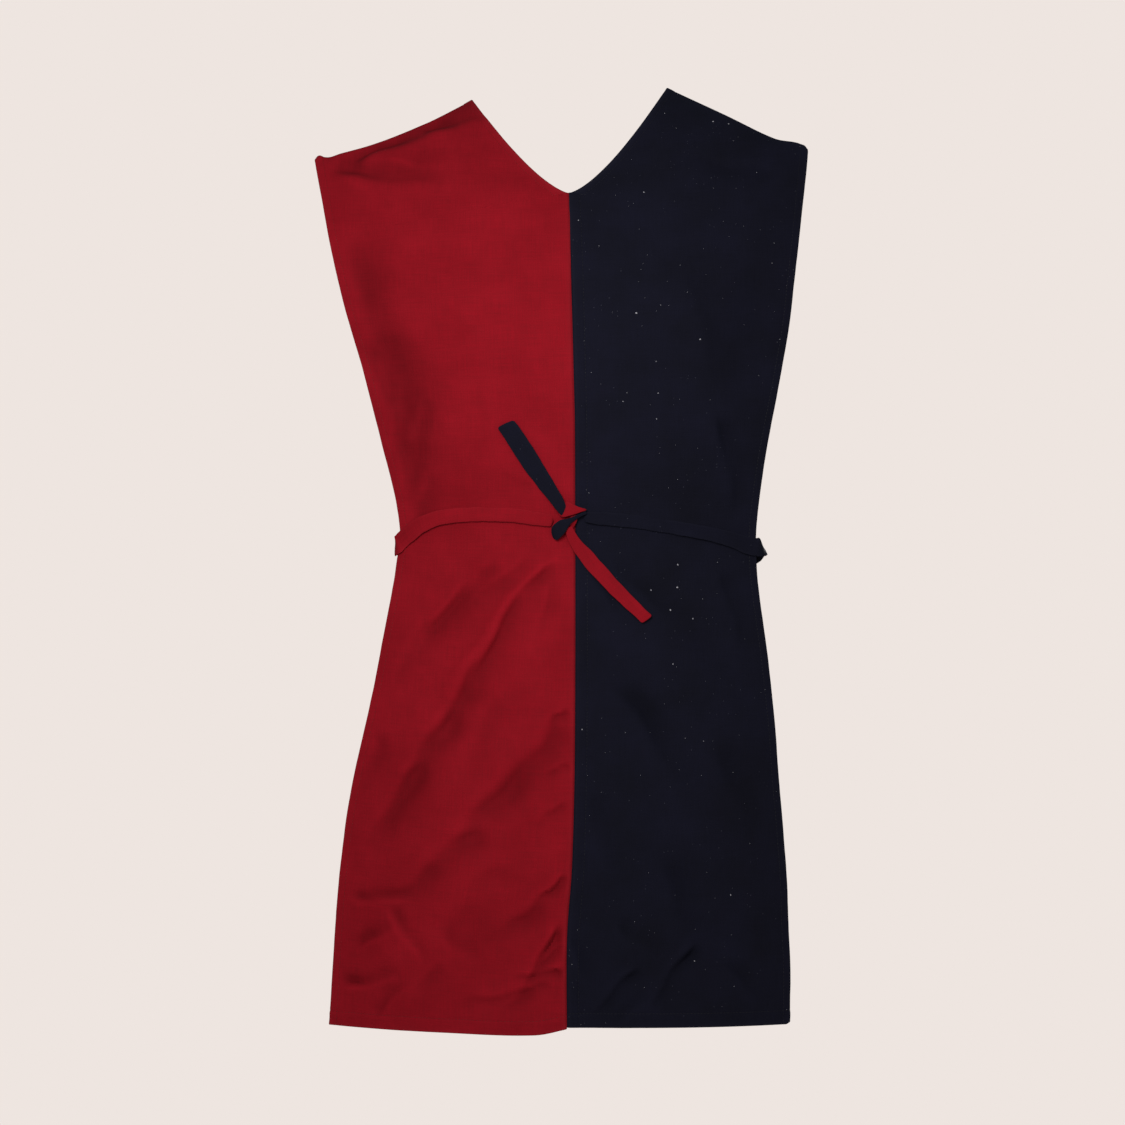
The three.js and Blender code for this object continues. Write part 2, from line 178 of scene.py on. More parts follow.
# Large soft folds: both ends (x, z), width, depth; a depth below 0 is a ridge
FOLDS = {
    FRONT: [
        (-22, -486, -122, -640, 15, 4.5), (-100, -606, -200, -750, 17, 4.5),
        (-20, -470, -125, -596, 13, -3), (-88, -486, -150, -562, 13, 3),
        (2, -612, -140, -780, 22, 4), (-135, -836, -14, -798, 18, 3),
        (-222, -140, -152, -330, 22, 4), (26, -548, 128, -690, 18, 4),
        (90, -500, 172, -590, 15, 3), (70, -700, 150, -870, 20, 3.5),
        (196, -150, 158, -330, 22, 4),
    ],
    BACK: [
        (-60, -250, -40, -430, 22, 4), (55, -240, 46, -440, 22, 4),
        (-150, -480, -60, -640, 18, 4), (140, -490, 80, -660, 18, 4),
        (-100, -640, -140, -860, 24, 4), (30, -620, 60, -850, 24, 4),
        (-190, -160, -130, -320, 22, 3.5), (190, -160, 140, -330, 22, 3.5),
    ],
}
# Finer creases, uneven in length and depth: both ends (x, z), width, depth, and lean, which makes
# one flank of the trough steeper and raises a soft ridge along it
CREASES = {
    FRONT: [
        # pulled from the knot across the crimson half
        (-10, -466, -66, -532, 5, 1.6, 1.0), (-40, -500, -96, -594, 5.5, 1.7, 0.9),
        (-78, -562, -128, -654, 7, 1.4, 0.8), (-104, -610, -160, -704, 8, 1.5, 0.7),
        (-134, -664, -200, -752, 7, 1.7, 0.8), (-6, -458, -64, -512, 4.5, -0.9, 0.3),
        (-56, -500, -120, -604, 6, -0.9, 0.3), (-92, -486, -152, -570, 5, 1.5, 0.8),
        (-66, -470, -106, -514, 5, 0.8, 0.6), (-30, -460, -120, -538, 5, 0.7, 0.7),
        (-12, -480, -30, -560, 5, 0.7, 0.6), (-130, -520, -168, -596, 7, 0.9, 0.6),
        # crimson skirt
        (0, -618, -64, -704, 9, 1.3, 0.6), (-36, -662, -106, -756, 10, 1.5, 0.6),
        (-80, -722, -146, -790, 9, 1.3, 0.6), (-120, -764, -186, -808, 8, 1.2, 0.6),
        (-218, -796, -150, -784, 4.5, 1.7, 0.9), (-216, -838, -164, -818, 4.5, 1.4, 0.8),
        (-172, -798, -136, -858, 5, 1.2, 0.7), (-230, -880, -166, -864, 4.5, 1.7, 0.9),
        (-196, -908, -154, -868, 5, 1.1, 0.6), (-124, -828, -80, -842, 7, 0.9, 0.6),
        (-14, -800, -84, -836, 7, 1.3, 0.6), (0, -770, -32, -800, 3.5, 2.0, 0.9),
        (-2, -818, -48, -886, 4, 2.1, 0.9), (-2, -838, -40, -872, 3.5, 1.5, 0.9),
        (-2, -866, -54, -870, 4, 1.6, 0.8), (-26, -884, -108, -896, 5, 1.3, 0.6),
        (2, -612, -20, -628, 3.5, 1.3, 0.8), (2, -664, -24, -680, 3.5, 1.2, 0.7),
        (2, -700, -30, -726, 4, 0.9, 0.7), (-16, -872, -66, -908, 4.5, 1.2, 0.7),
        (-116, -856, -158, -908, 6, 0.8, 0.5), (-182, -630, -210, -712, 7, 0.8, 0.5),
        (-60, -600, -100, -700, 9, 0.7, 0.5), (-60, -760, -110, -830, 10, 0.7, 0.5),
        # crimson chest and yoke
        (-226, -64, -112, -22, 9, 2.7, 0.5), (-186, -64, -118, -78, 4.5, -0.9, 0.4),
        (-244, -76, -120, -80, 10, 1.9, 0.5), (-150, -38, -84, -16, 7, 1.6, 0.5),
        (-210, -140, -162, -300, 13, 1.2, 0.5), (-184, -236, -146, -400, 17, 1.9, 0.4),
        (-200, -256, -112, -360, 16, 1.3, 0.4),
        (-162, -292, -168, -392, 6, 0.9, 0.6), (-136, -306, -154, -396, 6, 0.9, 0.7),
        (-158, -340, -148, -452, 12, 1.7, 0.5), (-130, -380, -142, -440, 8, 0.8, 0.5),
        (-30, -400, -80, -384, 5, 0.5, 0.5),
        # dark half
        (50, -580, 120, -684, 8, 1.2, 0.6), (128, -836, 84, -900, 5, 1.8, 0.8),
        (72, -860, 26, -908, 4.5, 1.6, 0.8), (2, -826, 30, -880, 4.5, 1.0, 0.6),
        (40, -462, 124, -526, 7, 0.9, 0.6), (150, -320, 172, -424, 8, 1.2, 0.5),
        (120, -180, 164, -300, 12, 0.8, 0.4), (206, -92, 110, -70, 7, 1.0, 0.5),
        (22, -462, 64, -530, 6, 0.8, 0.6), (156, -850, 194, -904, 6, 0.9, 0.6),
        (150, -640, 186, -736, 10, 0.8, 0.4), (96, -750, 134, -836, 9, 0.8, 0.4),
        (48, -810, 92, -850, 6, 0.8, 0.5), (36, -908, 84, -882, 5, 0.8, 0.5),
        (156, -470, 176, -560, 8, 0.8, 0.5), (20, -690, 60, -780, 9, 0.7, 0.4),
    ],
    BACK: [
        # down from the shoulder blades and the neck
        (-120, -40, -150, -190, 13, 0.9, 0.4), (118, -40, 152, -196, 13, 0.9, 0.4),
        (-40, -150, -66, -330, 16, 0.7, 0.3), (44, -146, 60, -320, 16, 0.7, 0.3),
        (-196, -66, -104, -26, 7, 1.2, 0.5), (200, -62, 108, -24, 7, 1.2, 0.5),
        # gathered softly where the ties draw the waist in
        (-158, -452, -84, -330, 7, 0.9, 0.6), (-150, -446, -110, -300, 9, 0.7, 0.5),
        (168, -454, 96, -330, 7, 0.9, 0.6), (160, -446, 122, -296, 9, 0.7, 0.5),
        (-140, -462, -20, -404, 6, 0.8, 0.6), (150, -464, 30, -410, 6, 0.8, 0.6),
        (-146, -470, -70, -590, 7, 1.0, 0.6), (-130, -466, -30, -530, 6, 0.8, 0.6),
        (160, -472, 84, -600, 7, 1.0, 0.6), (142, -468, 40, -536, 6, 0.8, 0.6),
        (-158, -474, -140, -620, 8, 0.8, 0.5), (170, -476, 150, -630, 8, 0.8, 0.5),
        # long falls of the skirt, and the hem's own waves
        (-70, -560, -120, -800, 15, 0.9, 0.4), (80, -570, 110, -810, 15, 0.9, 0.4),
        (-24, -600, -44, -850, 16, 0.7, 0.3), (30, -610, 50, -860, 16, 0.7, 0.3),
        (-196, -918, -160, -760, 9, 0.8, 0.5), (186, -918, 150, -770, 9, 0.8, 0.5),
        (-104, -918, -84, -800, 8, 0.7, 0.5), (60, -916, 84, -790, 8, 0.7, 0.5),
        (-222, -850, -150, -822, 4.5, 1.1, 0.8), (210, -830, 140, -806, 4.5, 1.1, 0.8),
        (-4, -820, -44, -872, 4, 1.1, 0.8), (4, -846, 52, -890, 4, 1.0, 0.8),
    ],
}
# how many times deeper the finer creases lie than the depths above
CREASED = 2.7
# distances of the stitched lines from their edges
SIDE_HEM, BOTTOM_HEM, NECK_HEM, TOPSTITCH = 8.3, 13.5, 7.2, 11.5


def read(rows, column, at):
    """Reads one column of a table at each place, smoothly between its rows."""
    rows = np.array(sorted(rows), float)
    keys, values = rows[:, 0], rows[:, column]
    at = np.clip(at, keys[0], keys[-1])
    i = np.clip(np.searchsorted(keys, at, side="right") - 1, 0, len(keys) - 2)
    before, after = np.maximum(i - 1, 0), np.minimum(i + 2, len(keys) - 1)
    span = keys[i + 1] - keys[i]
    t = (at - keys[i]) / span
    start = (values[i + 1] - values[before]) / (keys[i + 1] - keys[before]) * span
    end = (values[after] - values[i]) / (keys[after] - keys[i]) * span
    rise = values[i + 1] - values[i]
    curve = (3 * rise - 2 * start - end) * t ** 2 + (start + end - 2 * rise) * t ** 3
    return values[i] + start * t + curve


def seam_x(face, z):
    """Where the middle seam runs at a height."""
    return read(FRONT_SEAM, 1, z) if face == FRONT else np.zeros_like(z)


def edge_x(half, z):
    """Where a half's side edge runs at a height."""
    return HALVES[half][0] * read(OUTLINE, 1 if half == "red" else 2, z)


def shoulder_height(half, x):
    """Height of a half's shoulder seam above a place."""
    _, neck, neck_height, tip, tip_height, sag = HALVES[half]
    along = np.clip((np.abs(x) - neck) / (tip - neck), 0, 1)
    return neck_height + (tip_height - neck_height) * (along + sag * along * (1 - along))


def smooth_step(value):
    """0 below 0, 1 above 1, and soft between."""
    value = np.clip(value, 0, 1)
    return value * value * (3 - 2 * value)


def along_across(x, z, x1, z1, x2, z2):
    """A point's share of the way along a line, and its distance from it."""
    length = math.hypot(x2 - x1, z2 - z1)
    along = ((x - x1) * (x2 - x1) + (z - z1) * (z2 - z1)) / length ** 2
    return along, ((x - x1) * (z2 - z1) - (z - z1) * (x2 - x1)) / length


def fold_depth(face, x, z):
    """How far the large folds sink the cloth."""
    total = np.zeros_like(x)
    for x1, z1, x2, z2, width, depth in FOLDS[face]:
        along, across = along_across(x, z, x1, z1, x2, z2)
        fade = np.sin(np.pi * np.clip(along, 0, 1))
        total += depth * fade * np.exp(-((across / width) ** 2))
    return total


def crease_relief(face, x, z):
    """How far the finer creases raise or sink the cloth."""
    total = np.zeros_like(x)
    for x1, z1, x2, z2, width, depth, lean in CREASES[face]:
        along, across = along_across(x, z, x1, z1, x2, z2)
        wander = 0.45 * np.sin(4.3 * along + x1) + 0.2 * np.sin(11 * along + z1)
        across = across + width * (wander - 0.6)
        along = np.clip(along, 0, 1)
        fade = smooth_step(along / 0.22) * (1 - along) ** 0.7 * (1 + 0.25 * np.sin(9 * along + z1))
        shape = np.exp(-((across / np.where(across > 0, 0.62 * width, 1.7 * width)) ** 2))
        ridge = np.exp(-(((across - 1.35 * width) / (0.85 * width)) ** 2))
        total += CREASED * depth * fade * (0.5 * lean * ridge - shape)
    return total


def cloth_y(face, x, z):
    """The canvas's outer face: its y above any place of the front or the back."""
    x, z = np.broadcast_arrays(np.asarray(x, float), np.asarray(z, float))
    seam = seam_x(face, z)
    red = x < seam
    edge = np.where(red, edge_x("red", z), edge_x("dark", z))
    reach = np.abs(x - seam) / np.abs(edge - seam)
    middle, side, power = (read(SECTIONS[face], column, z) for column in (1, 2, 3))
    full = middle + (side - middle) * reach ** power
    shoulder = np.where(red, shoulder_height("red", x), shoulder_height("dark", x))
    fall = np.clip((shoulder - z) / (shoulder - CHEST), 0, 1)
    rolled = (1 - (1 - fall) ** ROLL) ** (1 / ROLL)
    return face * ((full - fold_depth(face, x, z)) * rolled - SEAM_LAP)


def cloth_normal(face, x, z):
    """Outward direction of the canvas at places clear of the shoulder seam."""
    step = 2
    slope_x = (cloth_y(face, x + step, z) - cloth_y(face, x - step, z)) / (2 * step)
    slope_z = (cloth_y(face, x, z + step) - cloth_y(face, x, z - step)) / (2 * step)
    normal = face * np.stack([-slope_x, np.ones_like(slope_x), -slope_z], axis=-1)
    return normal / np.linalg.norm(normal, axis=-1, keepdims=True)


def unevenness(x, z, seed, shortest, longest, count=26):
    """Soft random waves between two wavelengths, about 1 high."""
    draw = np.random.default_rng(seed)
    total = np.zeros_like(x)
    for _ in range(count):
        turn, shift = draw.uniform(0, 2 * np.pi, 2)
        wave = 2 * np.pi / draw.uniform(shortest, longest)
        total += np.sin(wave * (x * np.cos(turn) + z * np.sin(turn)) + shift)
    return total / math.sqrt(count / 2)


# Grid lines lie close together where an edge, a fold or a line of stitches needs them: distances
# from the seam or neck edge, from the side edge and from the hem
INNER_LINES = [0, 0.5, 1, 1.7, 2.6, 3.8, 5.2, 6.8, 8.4, 9.8, 10.7, 11.5, 12.3, 13.4]
SIDE_LINES = [0, 0.4, 0.9, 1.6, 2.6, 4, 5.6, 6.8, 7.6, 8.3, 9, 9.9, 11.2]
HEM_LINES = [0, 0.4, 0.9, 1.6, 3, 5, 7.5, 10, 11.8, 12.7, 13.5, 14.3, 15.3, 17]
MIDDLE_COLUMNS = 98
NECK_ROWS, CHEST_ROWS, SKIRT_ROWS = 48, 42, 236
# rough length of the skirt, which turns the hem's distances into shares of it
SKIRT_LONG = 670


def panel_rows():
    """The rows of a half: 0 to 1 is the neck, 1 to 2 the chest and 2 to 3 the skirt."""
    neck = np.linspace(0, 1, NECK_ROWS, endpoint=False)
    chest = np.linspace(1, 2, CHEST_ROWS, endpoint=False)
    low = [3 - d / SKIRT_LONG for d in reversed(HEM_LINES)]
    skirt = np.linspace(2, low[0], SKIRT_ROWS, endpoint=False)
    return np.concatenate([neck, chest, skirt, low])


def row_shares(width):
    """The columns of a row of this width, as shares of the way from its inner edge to its side."""
    near = np.array(INNER_LINES) / width
    far = 1 - np.array(SIDE_LINES[::-1]) / width
    middle = np.linspace(near[-1], far[0], MIDDLE_COLUMNS + 1)[1:-1]
    return np.concatenate([near, middle, far])


def panel_row(half, face, v):
    """One row of points of a half's outer face, from the seam or neck edge to the side edge."""
    side, neck, neck_height, tip, tip_height, sag = HALVES[half]
    if v < 1:
        fall = (1 - math.cos(math.pi * v)) / 2
        inner = side * (neck * (1 - fall) ** NECK_ROUNDING - SEAM_LAP)
        inner_height = neck_height + (NECK_BOTTOM - neck_height) * fall
        outer_height = tip_height + (YOKE_SIDE - tip_height) * fall
        outer = side * tip if v == 0 else float(edge_x(half, np.array(outer_height)))
        u = row_shares(abs(outer - inner))
        x = inner + (outer - inner) * u
        z = inner_height + (outer_height - inner_height) * (u + (1 - fall) * sag * u * (1 - u))
    else:
        level = NECK_BOTTOM if v < 2 else CHEST
        u = row_shares(float(abs(edge_x(half, np.array(float(level))))))
        if v < 2:
            start = NECK_BOTTOM + (YOKE_SIDE - NECK_BOTTOM) * u
            z = start + (CHEST - start) * (v - 1)
        else:
            hem = read(HEM, 1 if half == "red" else 2, u)
            z = CHEST + (hem - CHEST) * (v - 2)
        middle = seam_x(face, z) - side * SEAM_LAP
        width = np.abs(edge_x(half, z) - middle)
        u = np.array([row_shares(w)[i] for i, w in enumerate(width)])
        x = middle + (edge_x(half, z) - middle) * u
    y = cloth_y(face, x, z) if v > 0 else np.full_like(x, -face * SEAM_LAP)
    return np.stack([x, y, z], axis=1)


def tip_and_corner(half, points, from_shoulder, from_hem):
    """The worn shape of a half's two outer corners: the crimson tip pokes up, the others are blunt."""
    out = np.abs(points[..., 0])
    near_top, near_hem = np.exp(-((from_shoulder / 7) ** 2)), np.exp(-((from_hem / 4) ** 2))
    if half == "red":
        points[..., 2] += near_top * 2.6 * np.exp(-(((out - 250) / 4.5) ** 2))
        points[..., 2] -= near_top * 1.2 * np.exp(-(((out - 238) / 6) ** 2))
        points[..., 2] -= near_top * 2.2 * smooth_step((out - 251) / 4)
    else:
        points[..., 2] -= near_top * 2.2 * np.exp(-(((out - 196) / 26) ** 2))
        points[..., 2] += near_top * 5.0 * smooth_step((out - 204) / 28)
        points[..., 2] -= near_top * 3.0 * smooth_step((out - 235) / 4)
        points[..., 2] += near_hem * 2.0 * smooth_step((out - 212) / 5)


def edge_relief(half, face, zone, inner, side, shoulder, hem, x, z):
    """How the seams and the turned-in, stitched edges raise and sink the cloth."""
    wander = unevenness(x, z, 5 + face, 16, 34)
    bumpy = unevenness(x, z, 11 + face, 9, 18)
    relief = np.zeros_like(x)
    for near, hem_width, roll, thick in ((side, SIDE_HEM, 0.5, 0.22), (hem, BOTTOM_HEM, 0.5, 0.42)):
        relief += thick * smooth_step((hem_width + 1.4 - near) / 1.6)
        relief -= thick * (1 + 0.35 * wander) * np.exp(-(((near - hem_width) / 0.9) ** 2))
        relief += 0.16 * bumpy * np.exp(-(((near - hem_width * 0.55) / (0.4 * hem_width)) ** 2))
        relief -= roll * np.clip(1 - near / 0.9, 0, 1) ** 2
    at_neck = zone < 1
    neck_band = 0.4 * smooth_step((8.4 - inner) / 1.5)
    neck_band -= (0.36 + 0.12 * wander) * np.exp(-(((inner - NECK_HEM) / 0.9) ** 2))
    neck_band -= 0.5 * np.clip(1 - inner / 0.9, 0, 1) ** 2
    groove = -1.5 * np.exp(-((inner / 1.2) ** 2))
    if half == "red":
        seam_band = 0.7 * np.exp(-(((inner - 4.4) / 2.7) ** 2))
        seam_band += 0.12 * wander * np.exp(-(((inner - 6) / 4) ** 2))
    else:
        seam_band = 0.55 * smooth_step((12.6 - inner) / 1.6)
        seam_band -= (0.5 + 0.16 * wander) * np.exp(-(((inner - TOPSTITCH) / 0.9) ** 2))
        seam_band += 0.14 * bumpy * np.exp(-(((inner - 6.5) / 4) ** 2))
    relief += np.where(at_neck, neck_band, groove + seam_band)
    relief -= 1.1 * np.exp(-((shoulder / 1.3) ** 2))
    relief += 0.35 * np.exp(-(((shoulder - 5) / 3.2) ** 2))
    return relief


def steps(points, axis):
    """Length of the way along one axis of a grid of points, from its start."""
    lengths = np.linalg.norm(np.diff(points, axis=axis), axis=-1)
    start = np.zeros_like(np.take(lengths, [0], axis=axis))
    return np.concatenate([start, np.cumsum(lengths, axis=axis)], axis=axis)


def grid_piece(name, points, uvs, marks, turned):
    """A sheet through a grid of points, made of a flat grid primitive. uvs are in mm of cloth, marks
    are values at the points that the cloth's finish reads, and turned puts its face the other way."""
    rows, columns = points.shape[:2]
    bpy.ops.object.select_all(action="DESELECT")
    bpy.ops.mesh.primitive_grid_add(x_subdivisions=columns - 1, y_subdivisions=rows - 1, size=1)
    piece = bpy.context.object
    piece.name = name
    mesh = piece.data
    mesh.name = name
    flat = np.empty(len(mesh.vertices) * 3)
    mesh.vertices.foreach_get("co", flat)
    flat = flat.reshape(-1, 3)
    column = np.rint((flat[:, 0] + 0.5) * (columns - 1)).astype(int)
    row = np.rint((0.5 - flat[:, 1]) * (rows - 1)).astype(int)
    mesh.vertices.foreach_set("co", (points[row, column] * MM).ravel())
    corners = np.empty(len(mesh.loops), dtype=np.int32)
    mesh.loops.foreach_get("vertex_index", corners)
    mesh.uv_layers[0].name = "cloth"
    mesh.uv_layers[0].data.foreach_set("uv", (uvs[row, column] * MM)[corners].ravel())
    for mark, values in marks.items():
        data = mesh.attributes.new(mark, "FLOAT", "POINT").data
        data.foreach_set("value", values[row, column])
    if turned:
        bpy.ops.object.mode_set(mode="EDIT")
        bpy.ops.mesh.select_all(action="SELECT")
        bpy.ops.mesh.flip_normals()
        bpy.ops.object.mode_set(mode="OBJECT")
    mesh.update()
    return piece


def canvas(name, colour, deep, worn, sheen, sheen_colour, gloss, dust):
    """Medium cotton canvas, piece-dyed, woven plain: matt, with slubs, faint cloudiness, paler worn
    edges and grains of dust. Painted shade darkens the colour in the creases and folds, and a painted
    highlight lightens it on the crease ridges. The weave is drawn at about 1 mm a thread, coarser than
    the real 0.5 mm, to show."""
    material, tree = new_material(name)
    uv = add(tree, "ShaderNodeUVMap", {}, uv_map="cloth")
    in_mm = add(tree, "ShaderNodeMapping", {"Vector": uv.outputs[0], "Scale": (1000, 1000, 1000)})
    wobble = add(tree, "ShaderNodeTexNoise", {"Vector": in_mm.outputs[0], "Scale": 0.11,
                                              "Detail": 2.0})
    pushed = add(tree, "ShaderNodeVectorMath", {0: wobble.outputs["Color"], 1: (1.3, 1.3, 1.3)},
                 operation="MULTIPLY")
    threads = add(tree, "ShaderNodeVectorMath", {0: in_mm.outputs[0], 1: pushed.outputs[0]},
                  operation="ADD")
    split = add(tree, "ShaderNodeSeparateXYZ", {0: threads.outputs[0]})
    waves = []
    for axis, pitch in (("X", 1.05), ("Y", 1.15)):
        turn = add(tree, "ShaderNodeMath", {0: split.outputs[axis], 1: math.pi / pitch},
                   operation="MULTIPLY")
        waves.append(add(tree, "ShaderNodeMath", {0: turn.outputs[0]}, operation="SINE"))
    crossing = add(tree, "ShaderNodeMath", {0: waves[0].outputs[0], 1: waves[1].outputs[0]},
                   operation="MULTIPLY")
    weave = add(tree, "ShaderNodeMath", {0: crossing.outputs[0]}, operation="ABSOLUTE")
    slubs = []
    for stretch in ((0.9, 0.035, 1), (0.035, 0.9, 1)):
        drawn = add(tree, "ShaderNodeMapping", {"Vector": in_mm.outputs[0], "Scale": stretch})
        slubs.append(add(tree, "ShaderNodeTexNoise", {"Vector": drawn.outputs[0], "Scale": 1.0,
                                                      "Detail": 2.0}))
    slub = add(tree, "ShaderNodeMath", {0: slubs[0].outputs["Fac"], 1: slubs[1].outputs["Fac"]},
               operation="ADD")
    fuzz = add(tree, "ShaderNodeTexNoise", {"Vector": in_mm.outputs[0], "Scale": 0.7,
                                            "Detail": 4.0})
    height = add(tree, "ShaderNodeMath", {0: weave.outputs[0], 1: slub.outputs[0]},
                 operation="ADD")
    height = add(tree, "ShaderNodeMath", {0: height.outputs[0], 1: fuzz.outputs["Fac"]},
                 operation="ADD")
    bump = add(tree, "ShaderNodeBump", {"Height": height.outputs[0], "Strength": 0.5,
                                        "Distance": 0.00022})
    cloud = add(tree, "ShaderNodeTexNoise", {"Vector": in_mm.outputs[0], "Scale": 0.014,
                                             "Detail": 3.0, "Roughness": 0.6})
    cloudy = add(tree, "ShaderNodeMapRange", {"Value": cloud.outputs["Fac"], "From Min": 0.3,
                                              "From Max": 0.7})
    dyed = add(tree, "ShaderNodeMix", {0: cloudy.outputs[0], 6: linear(deep), 7: linear(colour)},
               data_type="RGBA")
    streak = add(tree, "ShaderNodeMapRange", {"Value": slub.outputs[0], "From Min": 0.7,
                                              "From Max": 1.3, "To Min": 0.9, "To Max": 1.1})
    streaked = add(tree, "ShaderNodeMix", {0: 1.0, 6: dyed.outputs[2], 7: streak.outputs[0]},
                   data_type="RGBA", blend_type="MULTIPLY")
    rubbed = add(tree, "ShaderNodeAttribute", {}, attribute_name="wear")
    rubbing = add(tree, "ShaderNodeMath", {0: rubbed.outputs["Fac"], 1: fuzz.outputs["Fac"]},
                  operation="MULTIPLY")
    faded = add(tree, "ShaderNodeMix", {0: rubbing.outputs[0], 6: streaked.outputs[2],
                                        7: linear(worn)}, data_type="RGBA")
    # painted shade in the creases and folds and painted highlight on the crease ridges, read from the
    # mark that each panel carries
    creased = add(tree, "ShaderNodeAttribute", {}, attribute_name="painted_crease_shade")
    crease_shading = add(tree, "ShaderNodeMapRange", {"Value": creased.outputs["Fac"], "From Min": -0.5,
                                              "From Max": 1.0, "To Min": 1.06, "To Max": 0.7})
    painted_shade_colour = add(tree, "ShaderNodeMix", {0: 1.0, 6: faded.outputs[2], 7: crease_shading.outputs[0]},
                data_type="RGBA", blend_type="MULTIPLY")
    grains = add(tree, "ShaderNodeTexVoronoi", {"Vector": in_mm.outputs[0], "Scale": 0.26})
    picked = add(tree, "ShaderNodeSeparateColor", {0: grains.outputs["Color"]})
    patches = add(tree, "ShaderNodeTexNoise", {"Vector": in_mm.outputs[0], "Scale": 0.022,
                                               "Detail": 3.0})
    share = add(tree, "ShaderNodeMapRange", {"Value": patches.outputs["Fac"], "From Min": 0.46,
                                             "From Max": 0.72, "To Max": 0.7})
    near = add(tree, "ShaderNodeMath", {0: grains.outputs["Distance"], 1: 0.085},
               operation="LESS_THAN")
    chosen = add(tree, "ShaderNodeMath", {0: picked.outputs[0], 1: share.outputs[0]},
                 operation="LESS_THAN")
    lying = add(tree, "ShaderNodeMath", {0: near.outputs[0], 1: chosen.outputs[0]},
                operation="MULTIPLY")
    paleness = add(tree, "ShaderNodeMath", {0: lying.outputs[0], 1: dust}, operation="MULTIPLY")
    dusty = add(tree, "ShaderNodeMix", {0: paleness.outputs[0], 6: painted_shade_colour.outputs[2],
                                        7: linear("8C8C9C")}, data_type="RGBA")
    rough = add(tree, "ShaderNodeMapRange", {"Value": slub.outputs[0], "From Min": 0.7,
                                             "From Max": 1.3, "To Min": 0.82, "To Max": 0.94})
    cotton = add(tree, "ShaderNodeBsdfPrincipled", {
        "Base Color": dusty.outputs[2], "Roughness": rough.outputs[0], "Normal": bump.outputs[0],
        "Specular IOR Level": gloss, "Sheen Weight": sheen, "Sheen Roughness": 0.5,
        "Sheen Tint": linear(sheen_colour)})
    add(tree, "ShaderNodeOutputMaterial", {"Surface": cotton.outputs[0]})
    return material


CANVAS = {
    "red": canvas("crimson_cotton_canvas", "9A1220", "890D1A", "A52A33", 0.06, "B03040", 0.1, 0.0),
    "dark": canvas("blue_black_cotton_canvas", "181826", "14141E", "2A2A38", 0.05, "7080B0", 0.06,
                   0.22),
}
panels = {}
for face, face_name in ((FRONT, "front"), (BACK, "back")):
    for half in ("red", "dark"):
        side_of = HALVES[half][0]
        zones = panel_rows()
        points = np.array([panel_row(half, face, v) for v in zones])
        along_row, along_column = steps(points, 1), steps(points, 0)
        zone = np.repeat(zones[:, None], points.shape[1], axis=1)
        # the neck edge runs aslant to the rows, so it is nearer than the way along a row
        edge_run = np.gradient(points[:, 0], axis=0)
        row_run = points[:, 1] - points[:, 0]
        slant = np.linalg.norm(np.cross(edge_run, row_run), axis=1)
        slant /= np.linalg.norm(edge_run, axis=1) * np.linalg.norm(row_run, axis=1)
        from_inner = along_row * slant[:, None]
        from_side = along_row[:, -1:] - along_row
        from_hem = along_column[-1:] - along_column
        tip_and_corner(half, points, along_column, from_hem)
        normals = np.cross(np.gradient(points, axis=1), np.gradient(points, axis=0))
        normals *= side_of * face
        # sewn edges rise and sink within the plane of their seam
        normals[0, :, 1] = 0
        normals[zones >= 1, 0, 0] = 0
        normals /= np.linalg.norm(normals, axis=-1, keepdims=True)
        x, z = points[..., 0], points[..., 2]
        # creases fade out at the shoulder seam, and the side hem holds its edge straight
        calm = smooth_step(along_column / 16)
        relief = edge_relief(half, face, zone, from_inner, from_side, along_column, from_hem, x, z)
        held_flat = 0.2 + 0.8 * smooth_step(from_side / 26)
        creased = crease_relief(face, x, z) * calm * held_flat
        relief += creased
        relief += calm * (0.3 * unevenness(x, z, 21 + face, 70, 160)
                          + 0.07 * unevenness(x, z, 31 + face, 18, 40))
        points = points + normals * relief[..., None]
        chest_row = NECK_ROWS + CHEST_ROWS
        uvs = np.stack([
            along_row + np.abs(points[:, :1, 0]),
            along_column[chest_row] - along_column + 700,
        ], axis=-1)
        worn = 0.5 * np.exp(-from_side / 1.5) + 0.5 * np.exp(-from_hem / 1.5)
        worn += 0.4 * np.exp(-np.abs(along_column - 2.5) / 1.5)
        worn += np.where(zone < 1, 0.5, 0.35) * np.exp(-np.abs(from_inner - 2.0) / 1.5)
        name = f"{face_name}_{half}_canvas"
        # painted shade: a mark that darkens the canvas colour in the creases and large folds, and
        # lightens it on the crease ridges
        painted_crease_shade = np.clip(-creased / 3.4, -0.5, 1) + 0.25 * fold_depth(face, x, z) / 4
        piece = grid_piece(name, points, uvs, {"wear": worn, "painted_crease_shade": painted_crease_shade}, side_of * face > 0)
        panels[face, half] = (piece, points, normals, from_inner, from_side, from_hem, zone)
        thick = piece.modifiers.new("canvas", "SOLIDIFY")
        thick.thickness = CANVAS_THICK * MM
        thick.offset = -1
        bpy.ops.object.modifier_apply(modifier=thick.name)
        bpy.ops.object.shade_smooth_by_angle(angle=math.radians(50))
        piece.data.materials.append(CANVAS[half])
        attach(piece, "root")
        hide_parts(f"{face_name}_{half}")

# ---- The stitches
# Lockstitch in polyester thread of each half's colour, down the side hems, along the bottom and neck
# hems, and beside the middle seam on the dark halves. The thread is drawn a little thicker than it
# is. Each stitch is a short rounded length sunk in its own line.

STITCH_PITCH, STITCH_LONG, THREAD_THICK = 3.4, 2.7, 0.5


